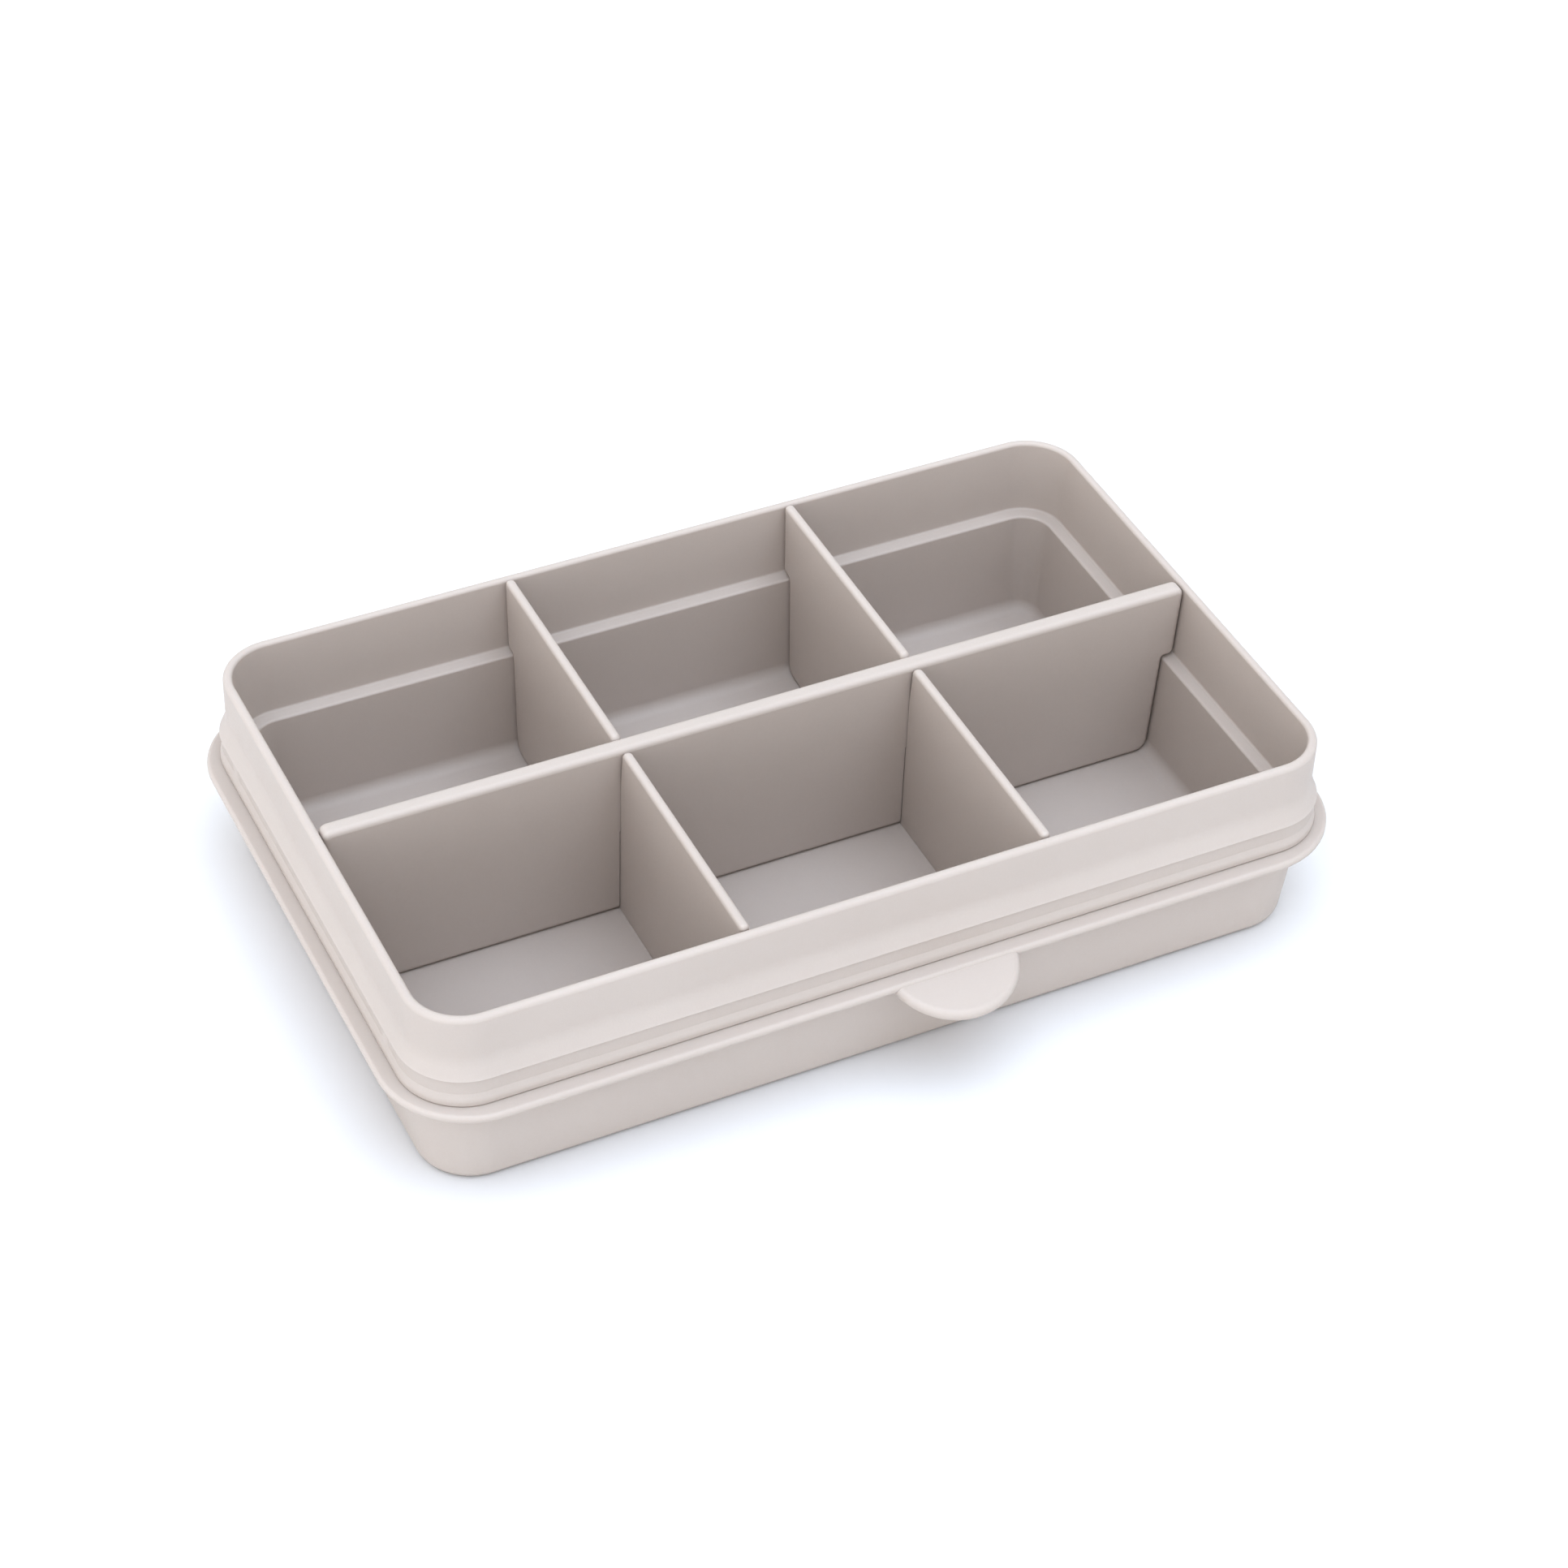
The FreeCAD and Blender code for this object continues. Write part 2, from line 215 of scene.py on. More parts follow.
# Camera, from the photograph: its angles, its turn about its own axis and the point it is aimed at
CAMERA_AZIMUTH = math.radians(-27.175)
CAMERA_ELEVATION = math.radians(41.183)
CAMERA_ROLL = math.radians(2.2437)
CAMERA_AIM = Vector((-1.517, -11.405, 34.111))
CAMERA_DISTANCE = 786.445
LENS = 87.879
SENSOR = 36.0


class Value:
    """A socket of a node tree. Sums written with it add Math nodes to its tree."""

    def __init__(self, board, socket):
        self.board = board
        self.socket = socket

    def maths(self, operation, *terms):
        return self.board.add("ShaderNodeMath", {"operation": operation}, dict(enumerate(terms)))

    def __add__(self, other):
        return self.maths("ADD", self, other)

    def __radd__(self, other):
        return self.maths("ADD", other, self)

    def __sub__(self, other):
        return self.maths("SUBTRACT", self, other)

    def __rsub__(self, other):
        return self.maths("SUBTRACT", other, self)

    def __mul__(self, other):
        return self.maths("MULTIPLY", self, other)

    def __rmul__(self, other):
        return self.maths("MULTIPLY", other, self)

    def __truediv__(self, other):
        return self.maths("DIVIDE", self, other)

    def __abs__(self):
        return self.maths("ABSOLUTE", self)

    def __gt__(self, other):
        return self.maths("GREATER_THAN", self, other)

    def out(self, name):
        """Another output of the same node."""
        return Value(self.board, self.socket.node.outputs[name])


class Board:
    """A node tree that is being wired."""

    def __init__(self, tree):
        self.tree = tree

    def add(self, kind, settings=None, sockets=None):
        """Adds a node: its settings first, then the value or the links of each socket."""
        node = self.tree.nodes.new(kind)
        for name, setting in (settings or {}).items():
            setattr(node, name, setting)
        for name, given in (sockets or {}).items():
            sources = given if isinstance(given, list) else [given]
            for source in sources:
                if isinstance(source, Value):
                    self.tree.links.new(source.socket, node.inputs[name])
                else:
                    node.inputs[name].default_value = source
        return Value(self, node.outputs[0]) if node.outputs else None


# Kinds of input of a geometry tree
SHAPE = "NodeSocketGeometry"
SIZE = "NodeSocketFloat"
COUNT = "NodeSocketInt"
POINT = "NodeSocketVector"
THING = "NodeSocketObject"
FINISH = "NodeSocketMaterial"

# Colour sockets of a Mix node, which share their names with its number and vector sockets
MIX_FIRST = 6
MIX_SECOND = 7
MIX_RESULT = 2


def geometry_board(name, inputs):
    """A geometry tree with named inputs after the shape that comes in, and those inputs as values."""
    tree = bpy.data.node_groups.new(name, "GeometryNodeTree")
    tree.is_modifier = True
    for label, kind in {"Shape": SHAPE, **inputs}.items():
        tree.interface.new_socket(label, in_out="INPUT", socket_type=kind)
    tree.interface.new_socket("Shape", in_out="OUTPUT", socket_type=SHAPE)
    board = Board(tree)
    shape = board.add("NodeGroupInput")
    return board, {label: shape.out(label) for label in ("Shape", *inputs)}


def finish_board(board, shape, plastic):
    """Closes a geometry tree: plain geometry with the plastic on it."""
    real = board.add("GeometryNodeRealizeInstances", None, {"Geometry": shape})
    coated = board.add("GeometryNodeSetMaterial", None, {"Geometry": real, "Material": plastic})
    board.add("NodeGroupOutput", None, {"Shape": coated})
    return board.tree


def smooth_shaded(board, mesh):
    """Smooth shading that stops at the edges that are moulded sharp."""
    smooth = board.add("GeometryNodeSetShadeSmooth", {"domain": "FACE"},
                       {"Geometry": mesh, "Shade Smooth": True})
    sharp = board.add("GeometryNodeInputMeshEdgeAngle") > SHARP_ANGLE
    return board.add("GeometryNodeSetShadeSmooth", {"domain": "EDGE"},
                     {"Geometry": smooth, "Selection": sharp, "Shade Smooth": False})


def rounded(board, line, steps):
    """A drawn line with each corner rounded by the radius that is kept on its point."""
    radius = board.add("GeometryNodeInputRadius")
    return board.add("GeometryNodeFilletCurve", {"mode": "POLY"},
                     {"Curve": line, "Count": steps, "Radius": radius, "Limit Radius": True})


def point_place(board):
    """The place of each point, for its X, Y and Z outputs."""
    return board.add("ShaderNodeSeparateXYZ", None, {"Vector": board.add("GeometryNodeInputPosition")})


def raised(board, shape, height):
    """A shape moved up by a height."""
    lift = board.add("ShaderNodeCombineXYZ", None, {"Z": height})
    return board.add("GeometryNodeTransform", None, {"Geometry": shape, "Translation": lift})


def welded(board, parts, distance):
    """Parts joined where their points meet."""
    joined = board.add("GeometryNodeJoinGeometry", None, {"Geometry": parts})
    return board.add("GeometryNodeMergeByDistance", None, {"Geometry": joined, "Distance": distance})


def united(board, first, second):
    """Two closed shapes made one."""
    return board.add("GeometryNodeMeshBoolean", {"operation": "UNION", "solver": "EXACT"},
                     {"Mesh 2": [first, second]})


def tub_tree():
    """A tub: the drawn section of its wall goes round a rounded rectangle, and two plates close its floor.

    The section runs from one corner axis of the floor, under the tub and over the rim, back to that axis.
    """
    board, given = geometry_board("moulded_tub", {
        "Length": SIZE, "Width": SIZE, "Corner": SIZE, "Floor under": SIZE, "Floor top": SIZE,
        "Round steps": COUNT, "Corner steps": COUNT, "Weld": SIZE, "Plastic": FINISH})
    corner = given["Corner"]
    straight_length = given["Length"] - 2 * corner
    straight_width = given["Width"] - 2 * corner

    rectangle = board.add("GeometryNodeCurvePrimitiveQuadrilateral", {"mode": "RECTANGLE"},
                          {"Width": given["Length"], "Height": given["Width"]})
    rectangle = board.add("GeometryNodeReverseCurve", None, {"Curve": rectangle})
    path = board.add("GeometryNodeFilletCurve", {"mode": "POLY"},
                     {"Curve": rectangle, "Count": given["Corner steps"], "Radius": corner})
    place = point_place(board)
    from_axis = []
    for side, straight in (("X", straight_length), ("Y", straight_width)):
        axis = board.add("ShaderNodeClamp", None,
                         {"Value": place.out(side), "Min": straight / -2, "Max": straight / 2})
        from_axis.append(place.out(side) - axis)
    outwards = board.add("ShaderNodeCombineXYZ", None, {"X": from_axis[0], "Y": from_axis[1]})
    outwards = board.add("ShaderNodeVectorMath", {"operation": "NORMALIZE"}, {0: outwards})
    path = board.add("GeometryNodeSetCurveNormal", {"mode": "FREE"}, {"Curve": path, "Normal": outwards})
    section = rounded(board, given["Shape"], given["Round steps"])
    wall = board.add("GeometryNodeCurveToMesh", None, {"Curve": path, "Profile Curve": section})

    plate = board.add("GeometryNodeMeshGrid", None, {
        "Size X": straight_length, "Size Y": straight_width, "Vertices X": 2, "Vertices Y": 2})
    floor = raised(board, plate, given["Floor top"])
    under = board.add("GeometryNodeFlipFaces", None, {"Mesh": raised(board, plate, given["Floor under"])})
    whole = welded(board, [wall, floor, under], given["Weld"])
    return finish_board(board, smooth_shaded(board, whole), given["Plastic"])


def plate_tree():
    """A plate: a drawn outline with rounded corners, filled, given a thickness and set in its place.

    Edges of the outline that lie in a slot are kept sharp; the others are marked for rounding.
    """
    board, given = geometry_board("moulded_plate", {
        "Thickness": SIZE, "Under share": SIZE, "Round steps": COUNT, "Slot place": SIZE, "Slot half": SIZE,
        "Slot top": SIZE, "Turn": POINT, "Place": POINT, "Weld": SIZE, "Plastic": FINISH})
    outline = rounded(board, given["Shape"], given["Round steps"])
    face = board.add("GeometryNodeFillCurve", {"mode": "NGONS"}, {"Curve": outline})
    front = board.add("GeometryNodeExtrudeMesh", {"mode": "FACES"},
                      {"Mesh": face, "Offset Scale": given["Thickness"], "Individual": False})
    back = board.add("GeometryNodeFlipFaces", None, {"Mesh": face})
    solid = welded(board, [front, back], given["Weld"])

    place = point_place(board)
    beside_slot = abs(abs(place.out("X")) - given["Slot place"]) > given["Slot half"]
    above_slot = place.out("Y") > given["Slot top"]
    free = board.add("ShaderNodeMath", {"operation": "MAXIMUM"}, {0: beside_slot, 1: above_slot})
    outer = board.add("GeometryNodeInputMeshEdgeAngle") > SHARP_ANGLE
    upper = place.out("Z") > given["Thickness"] / 2
    share = upper + (1 - upper) * given["Under share"]
    marked = board.add("GeometryNodeStoreNamedAttribute", {"data_type": "FLOAT", "domain": "EDGE"},
                       {"Geometry": solid, "Name": "bevel_weight_edge", "Value": free * outer * share})
    centred = raised(board, marked, given["Thickness"] / -2)
    placed = board.add("GeometryNodeTransform", None,
                       {"Geometry": centred, "Translation": given["Place"], "Rotation": given["Turn"]})
    return finish_board(board, smooth_shaded(board, placed), given["Plastic"])


def lands_tree():
    """Short bridges across the groove, made one with the box.

    They are four flattened posts, mirrored about both middles of the box.
    """
    board, given = geometry_board("groove_lands", {
        "Spacing": POINT, "Reach": SIZE, "Half width": SIZE, "Tall": SIZE, "Height": SIZE, "Steps": COUNT,
        "Plastic": FINISH})
    spacing = board.add("ShaderNodeSeparateXYZ", None, {"Vector": given["Spacing"]})
    points = board.add("GeometryNodeMeshGrid", None, {
        "Size X": spacing.out("X"), "Size Y": spacing.out("Y"), "Vertices X": 2, "Vertices Y": 2})
    points = raised(board, points, given["Height"])
    post = board.add("GeometryNodeMeshCylinder", None,
                     {"Vertices": given["Steps"], "Radius": 1.0, "Depth": given["Tall"]})
    flattening = board.add("ShaderNodeCombineXYZ", None,
                           {"X": given["Reach"], "Y": given["Half width"], "Z": 1.0})
    post = board.add("GeometryNodeTransform", None, {"Geometry": post, "Scale": flattening})
    lands = board.add("GeometryNodeInstanceOnPoints", None, {"Points": points, "Instance": post})
    lands = board.add("GeometryNodeRealizeInstances", None, {"Geometry": lands})
    whole = united(board, given["Shape"], lands)
    return finish_board(board, smooth_shaded(board, whole), given["Plastic"])


def graft_tree():
    """Makes another object one with the shape that comes in."""
    board, given = geometry_board("graft", {"Other": THING, "Plastic": FINISH})
    other = board.add("GeometryNodeObjectInfo", None, {"Object": given["Other"]}).out("Geometry")
    whole = united(board, given["Shape"], other)
    return finish_board(board, smooth_shaded(board, whole), given["Plastic"])


def drawn_line(name, corners, closed):
    """A curve object drawn through (x, y, radius) corners, with each radius kept on its point."""
    curve = bpy.data.curves.new(name, "CURVE")
    curve.dimensions = "3D"
    spline = curve.splines.new("POLY")
    spline.points.add(len(corners) - 1)
    for point, (x, y, radius) in zip(spline.points, corners):
        point.co = (x * MM, y * MM, 0.0, 1.0)
        point.radius = radius * MM
    spline.use_cyclic_u = closed
    line = bpy.data.objects.new(name, curve)
    bpy.context.scene.collection.objects.link(line)
    return line


def run_tree(shape, tree, sizes):
    """Adds a tree to an object as a modifier and sets its inputs by their identifiers."""
    modifier = shape.modifiers.new(tree.name, "NODES")
    modifier.node_group = tree
    for item in tree.interface.items_tree:
        if item.in_out == "INPUT" and item.name in sizes:
            modifier[item.identifier] = sizes[item.name]


def plain_piece(name, shape):
    """Turns an object with its modifiers into a plain mesh object, and removes the object."""
    bpy.context.view_layer.update()
    depsgraph = bpy.context.evaluated_depsgraph_get()
    evaluated = shape.evaluated_get(depsgraph)
    mesh = bpy.data.meshes.new_from_object(evaluated, preserve_all_data_layers=True, depsgraph=depsgraph)
    bpy.data.objects.remove(shape)
    mesh.name = name
    # A curve hands on an empty first slot
    if mesh.materials[0] is None:
        mesh.materials.pop(index=0)
    piece = bpy.data.objects.new(name, mesh)
    bpy.context.scene.collection.objects.link(piece)
    return piece


def flat_faced(piece):
    """Weights the normals by face size, so that flat walls stay flat beside their rounded edges."""
    modifier = piece.modifiers.new("flat faces", "WEIGHTED_NORMAL")
    modifier.keep_sharp = True
    return plain_piece(piece.name, piece)


def tub(name, section, corner, floor_under, floor_top, plastic):
    """A tub round the rim line, from the section of its wall and the heights of its floor."""
    line = drawn_line(name, section, closed=False)
    run_tree(line, TUB, {
        "Length": RIM_LENGTH * MM, "Width": RIM_WIDTH * MM, "Corner": corner * MM,
        "Floor under": floor_under * MM, "Floor top": floor_top * MM,
        "Round steps": ROUND_STEPS, "Corner steps": CORNER_STEPS, "Weld": WELD * MM, "Plastic": plastic})
    return plain_piece(name, line)


def plate(name, outline, thickness, edge_rounds, turn, place, slot, plastic):
    """A plate with rounded upper and under edges, turned and set in its place.

    The slot is given by its place, half width and top; its edges stay sharp.
    """
    upper_round, under_round = edge_rounds
    slot_place, slot_half, slot_top = slot
    line = drawn_line(name, outline, closed=True)
    run_tree(line, PLATE, {
        "Thickness": thickness * MM, "Under share": under_round / upper_round, "Round steps": ROUND_STEPS,
        "Slot place": slot_place * MM, "Slot half": slot_half * MM, "Slot top": slot_top * MM,
        "Turn": turn, "Place": [size * MM for size in place], "Weld": WELD * MM, "Plastic": plastic})
    piece = plain_piece(name, line)
    bevel = piece.modifiers.new("edge round", "BEVEL")
    bevel.limit_method = "WEIGHT"
    bevel.offset_type = "OFFSET"
    bevel.width = upper_round * MM
    bevel.segments = BEVEL_STEPS
    bevel.use_clamp_overlap = False
    return plain_piece(name, piece)


def box_section():
    """Section of the box wall, as offsets from the rim line, heights and rounds."""
    web_under = LEDGE_TOP - LEDGE_FALL - WALL
    body_outside_top = BODY_OUTSIDE_BASE + lean(BODY_SLOPE, web_under - BOX_BASE)
    hollow_inside = LEDGE_OUTER + WALL
    skirt_inside = GROOVE_OUTSIDE - SKIRT_WALL
    return [
        (-RIM_CORNER, BOX_BASE, 0),
        (BODY_OUTSIDE_BASE, BOX_BASE, BASE_ROUND),
        (body_outside_top, web_under, FINE_ROUND),
        (hollow_inside, web_under, FINE_ROUND),
        (hollow_inside, RIDGE, FINE_ROUND),
        (skirt_inside, RIDGE, FINE_ROUND),
        (skirt_inside, SKIRT_END, FINE_ROUND),
        (BEAD_OUTSIDE, SKIRT_END, FINE_ROUND),
        (BEAD_OUTSIDE, BEAD_TOP - BEAD_EASE, BEAD_ROUND),
        (GROOVE_OUTSIDE, BEAD_TOP, FINE_ROUND),
        (GROOVE_OUTSIDE, RIDGE, 0),
        (RIDGE_OUTSIDE, RIDGE, 0),
        (RIM_THICKNESS, NECK_END, FLARE_ROUND),
        (RIM_THICKNESS, RIM_TOP, RIM_ROUND),
        (0, RIM_TOP, RIM_INNER_ROUND),
        (LEDGE_OUTER, LEDGE_TOP, SOFT_ROUND),
        (LEDGE_INNER, LEDGE_TOP - LEDGE_FALL, SOFT_ROUND),
        (BODY_INSIDE_BASE, BOX_FLOOR, FLOOR_FILLET),
        (-RIM_CORNER, BOX_FLOOR, 0),
    ]


def box_tub(plastic):
    """The box, with the bridges across its groove.

    A bridge is the part of a post that stands out of the groove wall.
    """
    box = tub("box_tub", box_section(), RIM_CORNER, BOX_BASE, BOX_FLOOR, plastic)
    root = RIM_LENGTH / 2 + GROOVE_OUTSIDE - LAND_ROOT
    reach = LAND_ROOT + GROOVE_CUT - LAND_EASE
    half_width = (LAND_WIDTH / 2 + LAND_SOFT) / math.sqrt(1 - (LAND_ROOT / reach) ** 2)
    low = BEAD_TOP - LAND_SINK
    high = RIDGE + LAND_EASE
    along = RIM_WIDTH / 2 - RIM_CORNER - LAND_FROM_CORNER - LAND_WIDTH / 2
    run_tree(box, LANDS, {
        "Spacing": (2 * root * MM, 2 * along * MM, 0.0),
        "Reach": reach * MM, "Half width": half_width * MM,
        "Tall": (high - low) * MM, "Height": (low + high) / 2 * MM,
        "Steps": LAND_STEPS, "Plastic": plastic})
    return flat_faced(plain_piece(box.name, box))


def lid_section():
    """Section of the lid wall, as it lies upside down."""
    wall_inside_base = BODY_OUTSIDE_BASE + NEST_GAP
    wall_inside_top = wall_inside_base + lean(LID_SLOPE, SEAT_TOP - LID_FLOOR)
    wall_outside_base = wall_inside_base + LID_WALL - lean(LID_SLOPE, LID_FLOOR)
    wall_end = SEAT_TOP - (LID_OPENING - wall_inside_top) - LID_WALL / 2
    wall_outside_top = wall_outside_base + lean(LID_SLOPE, wall_end)
    band_outside = LID_OPENING + LID_WALL
    band_end = wall_end + band_outside - wall_outside_top
    flange_under = LID_HEIGHT - FLANGE_THICKNESS
    return [
        (-LID_CORNER, 0, 0),
        (wall_outside_base, 0, LID_BASE_ROUND),
        (wall_outside_top, wall_end, SOFT_ROUND),
        (band_outside, band_end, SOFT_ROUND),
        (band_outside, flange_under, FINE_ROUND),
        (FLANGE_OUTSIDE, flange_under, FLANGE_ROUND),
        (FLANGE_OUTSIDE, LID_HEIGHT, FLANGE_ROUND),
        (LID_OPENING, LID_HEIGHT, SOFT_ROUND),
        (LID_OPENING, SEAT_TOP, FINE_ROUND),
        (wall_inside_top, SEAT_TOP, SOFT_ROUND),
        (wall_inside_base, LID_FLOOR, LID_FLOOR_FILLET),
        (-LID_CORNER, LID_FLOOR, 0),
    ]


def tab_outline():
    """An arc in front of the flange edge, with a straight root let into the flange."""
    half_width = TAB_WIDTH / 2
    radius = (half_width ** 2 + TAB_REACH ** 2) / (2 * TAB_REACH)
    half_angle = math.asin(half_width / radius)
    root = FLANGE_WIDTH / 2
    curve = []
    for step in range(TAB_STEPS + 1):
        angle = half_angle * (2 * step / TAB_STEPS - 1)
        curve.append((radius * math.sin(angle), radius - TAB_REACH - radius * math.cos(angle), 0))
    return curve + [(half_width, root, 0), (-half_width, root, 0)]


def lid_tray(plastic):
    """The lid as it lies under the box, with its pull tab."""
    lid = tub("lid_tray", lid_section(), LID_CORNER, 0, LID_FLOOR, plastic)
    droop = math.radians(TAB_DROOP)
    flange_edge = RIM_WIDTH / 2 + FLANGE_OUTSIDE - FLANGE_ROUND / 2
    place = (TAB_PLACE, math.sin(droop) * TAB_THICKNESS / 2 - flange_edge,
             LID_HEIGHT - TAB_STEP - math.cos(droop) * TAB_THICKNESS / 2)
    turn = (droop, 0.0, 0.0)
    no_slot = (0, 0, 0)
    edge_rounds = (TAB_ROUND, TAB_UNDER_ROUND)
    tab = plate("pull_tab", tab_outline(), TAB_THICKNESS, edge_rounds, turn, place, no_slot, plastic)
    run_tree(lid, GRAFT, {"Other": tab, "Plastic": plastic})
    lid = plain_piece(lid.name, lid)
    bpy.data.objects.remove(tab)
    return flat_faced(lid)


def divider_outline(opening, above_rim, end_round, slots_below=(), slot_above=()):
    """Outline of a divider, with ends that follow the stepped inside wall, and its half-lap slots."""
    half = opening / 2 - END_GAP
    top = RIM_TOP + above_rim
    shoulder = LEDGE_TOP + END_GAP
    right_end = [
        (half + BODY_INSIDE_BASE, DIVIDER_FOOT, FLOOR_FILLET + END_GAP),
        (half + LEDGE_INNER, shoulder, SOFT_ROUND),
        (half - lean(COLLAR_SLOPE, RIM_TOP - shoulder), shoulder, SHOULDER_ROUND),
        (half + lean(COLLAR_SLOPE, above_rim), top, end_round),
    ]
    left_end = [(-x, z, radius) for x, z, radius in reversed(right_end)]
    return left_end + list(slots_below) + right_end + list(slot_above)


def long_divider(plastic):
    """The divider along the box, with two slots from below."""
    half = SHORT_THICKNESS / 2 + LAP_GAP
    slot_top = LAP_HEIGHT + LAP_GAP
    slots = []
    for place in (-SHORT_PLACE, SHORT_PLACE):
        slots += [(place - half, DIVIDER_FOOT, 0), (place - half, slot_top, 0),
                  (place + half, slot_top, 0), (place + half, DIVIDER_FOOT, 0)]
    outline = divider_outline(RIM_LENGTH, LONG_ABOVE_RIM, LONG_END_ROUND, slots_below=slots)
    upright = (math.pi / 2, 0.0, 0.0)
    middle = (0, 0, 0)
    sharp = (SHORT_PLACE, half + WELD, RIM_TOP)
    edge_rounds = (LONG_EDGE_ROUND, LONG_EDGE_ROUND)
    return flat_faced(plate("long_divider_plate", outline, LONG_THICKNESS, edge_rounds, upright,
                            middle, sharp, plastic))


def short_divider(name, place, plastic):
    """A divider across the box, with one slot from above."""
    half = LONG_THICKNESS / 2 + LAP_GAP
    top = RIM_TOP + SHORT_ABOVE_RIM
    slot = [
        (half, top, MOUTH_ROUND),
        (half, LAP_HEIGHT, 0),
        (-half, LAP_HEIGHT, 0),
        (-half, top, MOUTH_ROUND),
    ]
    outline = divider_outline(RIM_WIDTH, SHORT_ABOVE_RIM, SHORT_END_ROUND, slot_above=slot)
    crosswise = (math.pi / 2, 0.0, math.pi / 2)
    sharp = (0, half + WELD, top - MOUTH_ROUND)
    edge_rounds = (SHORT_EDGE_ROUND, SHORT_EDGE_ROUND)
    return flat_faced(plate(name, outline, SHORT_THICKNESS, edge_rounds, crosswise,
                            (place, 0, 0), sharp, plastic))


def noise(board, place, size, detail):
    """Even noise from 0 to 1 with features of a size in millimetres."""
    return board.add("ShaderNodeTexNoise", {"noise_dimensions": "3D"}, {
        "Vector": place, "Scale": 1 / (size * MM), "Detail": detail, "Roughness": NOISE_ROUGHNESS})


def moulded_plastic(name, shift):
    """Matt warm-grey plastic with a fine moulded grain and faint drifts of tone, moved by a shift."""
    material = bpy.data.materials.new(name)
    material.use_nodes = True
    material.node_tree.nodes.clear()
    board = Board(material.node_tree)
    place = board.add("ShaderNodeTexCoord").out("Object")
    place = board.add("ShaderNodeMapping", None, {"Vector": place, "Location": (shift, shift, shift)})
    cloud = noise(board, place, CLOUD_SIZE, CLOUD_DETAIL)
    grain = noise(board, place, GRAIN_SIZE, GRAIN_DETAIL)
    swell = noise(board, place, SWELL_SIZE, SWELL_DETAIL)

    depth = cloud * CLOUD_SHARE + grain * GRAIN_SHARE
    tone = board.add("ShaderNodeMix", {"data_type": "RGBA"},
                     {"Factor": depth, MIX_FIRST: LIGHT_TONE, MIX_SECOND: DEEP_TONE}).out(MIX_RESULT)
    roughness = ROUGHNESS + (grain - NOISE_MIDDLE) * ROUGHNESS_SPREAD
    height = grain * (GRAIN_HEIGHT * MM) + swell * (SWELL_HEIGHT * MM)
    relief = board.add("ShaderNodeBump", None, {"Strength": 1.0, "Distance": 1.0, "Height": height})
    shader = board.add("ShaderNodeBsdfPrincipled", {"subsurface_method": "RANDOM_WALK"}, {
        "Base Color": tone, "Roughness": roughness, "Normal": relief, "Specular IOR Level": SPECULAR,
        "Subsurface Weight": TRANSLUCENCY, "Subsurface Radius": SCATTER_REACH,
        "Subsurface Scale": SCATTER_DEPTH * MM})
    board.add("ShaderNodeOutputMaterial", None, {"Surface": shader})
    return material


def seat_piece(piece, node, body):
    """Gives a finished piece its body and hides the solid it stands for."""
    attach(piece, body)
    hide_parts(node)


def set_floor():
    """A wide pale floor under the part."""
    mesh = bpy.data.meshes.new("floor")
    half = FLOOR_HALF * MM
    corners = [(-half, -half, 0), (half, -half, 0), (half, half, 0), (-half, half, 0)]
    mesh.from_pydata(corners, [], [(0, 1, 2, 3)])
    floor = bpy.data.objects.new("floor", mesh)
    bpy.context.scene.collection.objects.link(floor)
    material = bpy.data.materials.new("pale_floor")
    material.use_nodes = True
    shader = material.node_tree.nodes["Principled BSDF"]
    shader.inputs["Base Color"].default_value = FLOOR_TONE
    shader.inputs["Roughness"].default_value = FLOOR_ROUGHNESS
    shader.inputs["Specular IOR Level"].default_value = FLOOR_SPECULAR
    mesh.materials.append(material)


def nearness(board, way, aim):
    """How near each way into the sky is to an aim: 1 along it and 0 square to it."""
    return board.add("ShaderNodeVectorMath", {"operation": "DOT_PRODUCT"}, {0: way, 1: aim}).out("Value")


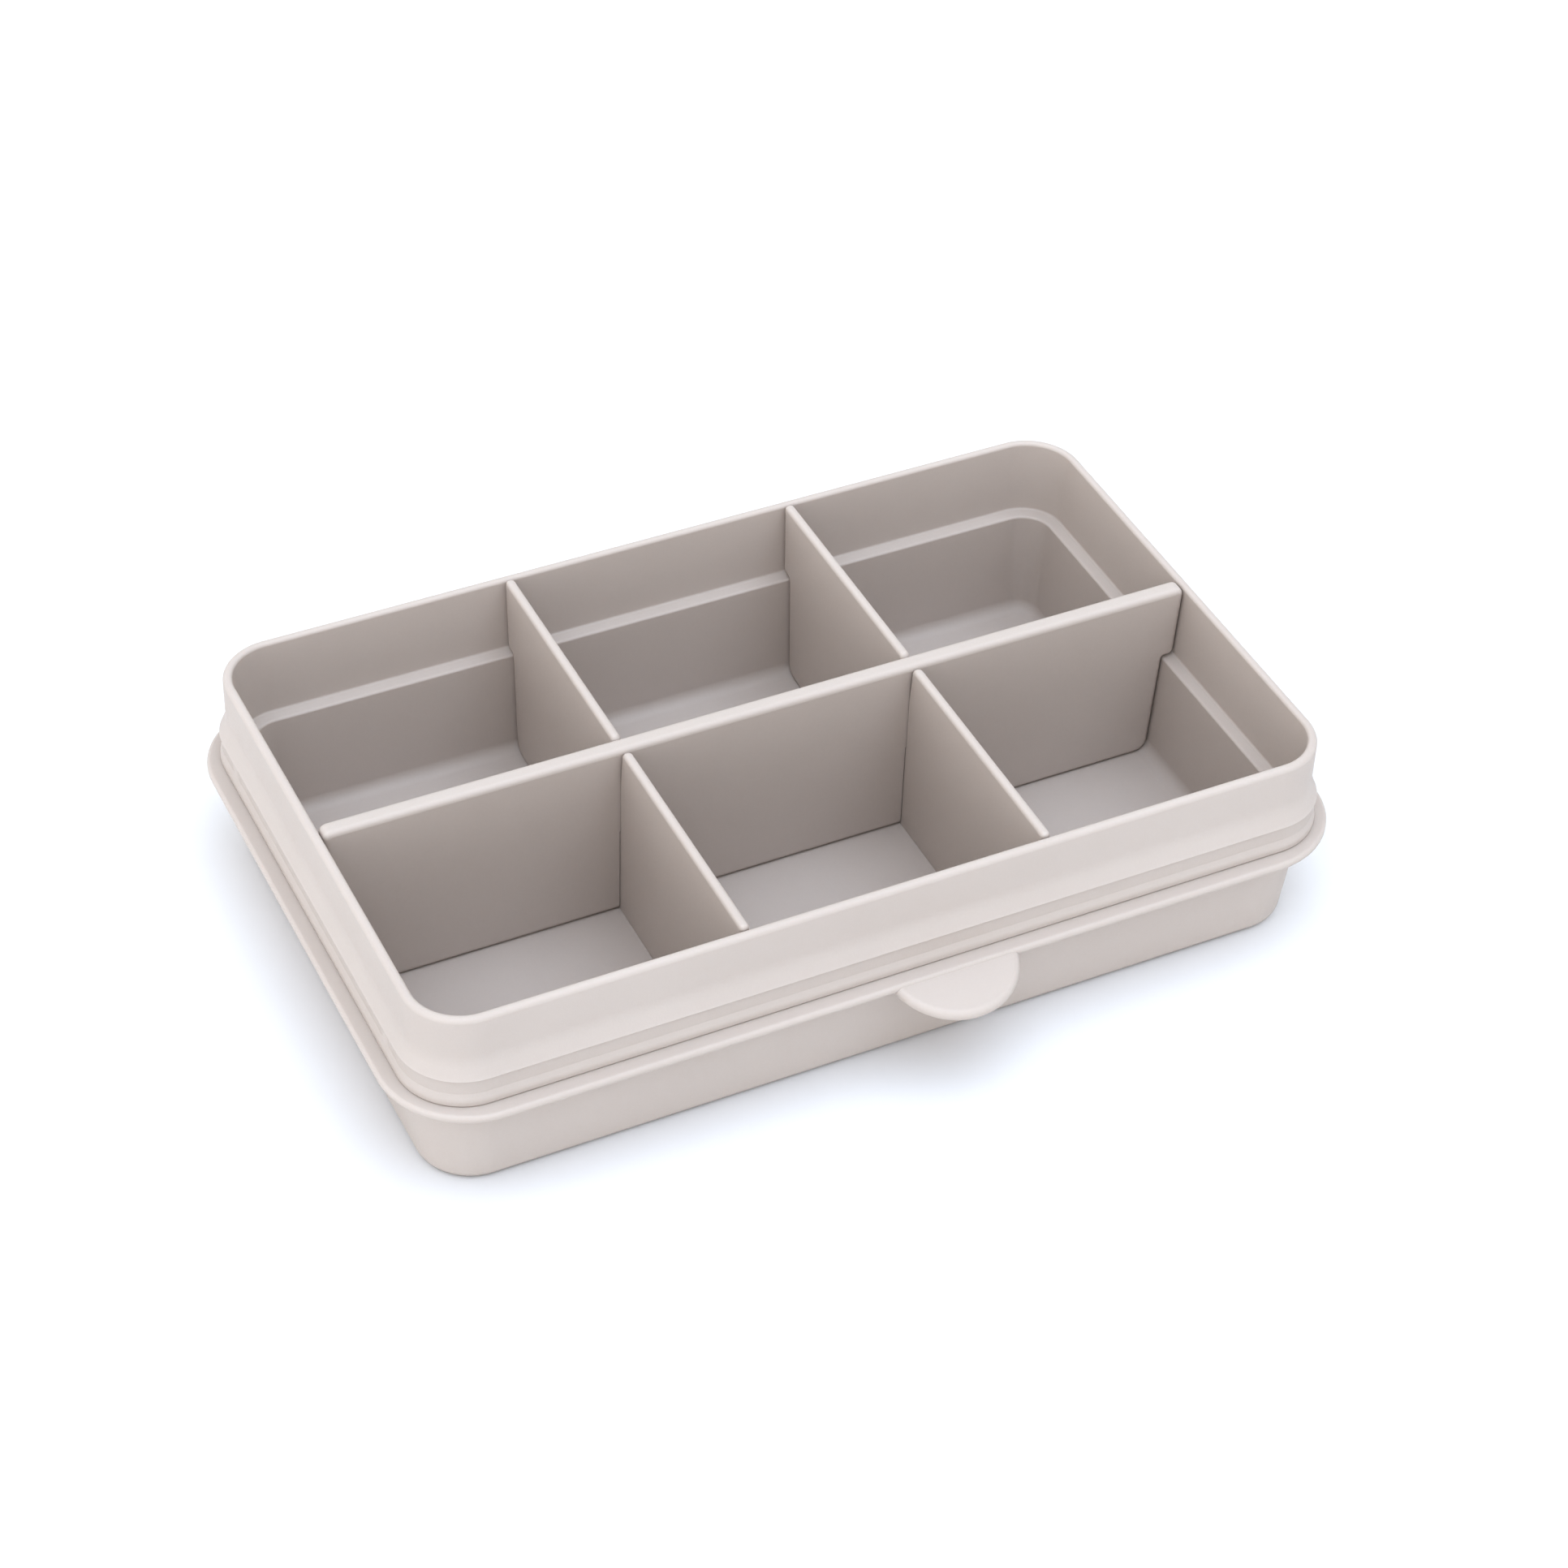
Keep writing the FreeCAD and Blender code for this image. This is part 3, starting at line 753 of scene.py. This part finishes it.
def set_lights():
    """The even sky, its patch overhead and its glow at the front left."""
    world = bpy.data.worlds.new("studio")
    world.use_nodes = True
    world.node_tree.nodes.clear()
    board = Board(world.node_tree)
    way = board.add("ShaderNodeTexCoord").out("Generated")
    height = board.add("ShaderNodeSeparateXYZ", None, {"Vector": way}).out("Z")
    overhead = nearness(board, way, PATCH_WAY)
    patch = board.add("ShaderNodeMapRange", {"interpolation_type": "SMOOTHSTEP"},
                      {"Value": overhead, "From Min": PATCH_BEGINS, "From Max": PATCH_FULL})
    sideways = nearness(board, way, GLOW_SIDE)
    glow = board.add("ShaderNodeClamp", None, {"Value": sideways}) * (1 - height)
    sky = board.add("ShaderNodeBackground", None,
                    {"Color": SKY_TONE, "Strength": SKY_STRENGTH + glow * GLOW_STRENGTH})
    lamp = board.add("ShaderNodeBackground", None,
                     {"Color": PATCH_TONE, "Strength": patch * PATCH_STRENGTH})
    both = board.add("ShaderNodeAddShader", None, {0: sky, 1: lamp})
    board.add("ShaderNodeOutputWorld", None, {"Surface": both})
    bpy.context.scene.world = world


def set_camera():
    """The camera at the photograph's place, with its lens and its slight turn."""
    camera = bpy.data.cameras.new("camera")
    camera.lens = LENS
    camera.sensor_width = SENSOR
    camera.clip_end = FLOOR_HALF * MM
    holder = bpy.data.objects.new("camera", camera)
    back = Vector((math.sin(CAMERA_AZIMUTH) * math.cos(CAMERA_ELEVATION),
                   -math.cos(CAMERA_AZIMUTH) * math.cos(CAMERA_ELEVATION),
                   math.sin(CAMERA_ELEVATION)))
    holder.location = (CAMERA_AIM + back * CAMERA_DISTANCE) * MM
    holder.rotation_mode = "QUATERNION"
    holder.rotation_quaternion = (-back).to_track_quat("-Z", "Y") @ Quaternion((0, 0, 1), CAMERA_ROLL)
    bpy.context.scene.collection.objects.link(holder)
    bpy.context.scene.camera = holder


def set_contrast():
    """Plain colours, with the contrast of the photograph."""
    view = bpy.context.scene.view_settings
    view.view_transform = "Standard"
    view.gamma = 1 / CONTRAST


TUB = tub_tree()
PLATE = plate_tree()
LANDS = lands_tree()
GRAFT = graft_tree()

lid_plastic = moulded_plastic("lid_matt", LID_SHIFT)
box_plastic = moulded_plastic("box_matt", BOX_SHIFT)
divider_plastic = moulded_plastic("divider_matt", DIVIDER_SHIFT)

seat_piece(lid_tray(lid_plastic), "lid", "lid")
seat_piece(box_tub(box_plastic), "box", "box")
seat_piece(long_divider(divider_plastic), "long_divider", "long_divider")
for side, place in (("left", -SHORT_PLACE), ("right", SHORT_PLACE)):
    node = "short_divider_" + side
    seat_piece(short_divider(node + "_plate", place, divider_plastic), node, node)

set_floor()
set_lights()
set_camera()
set_contrast()
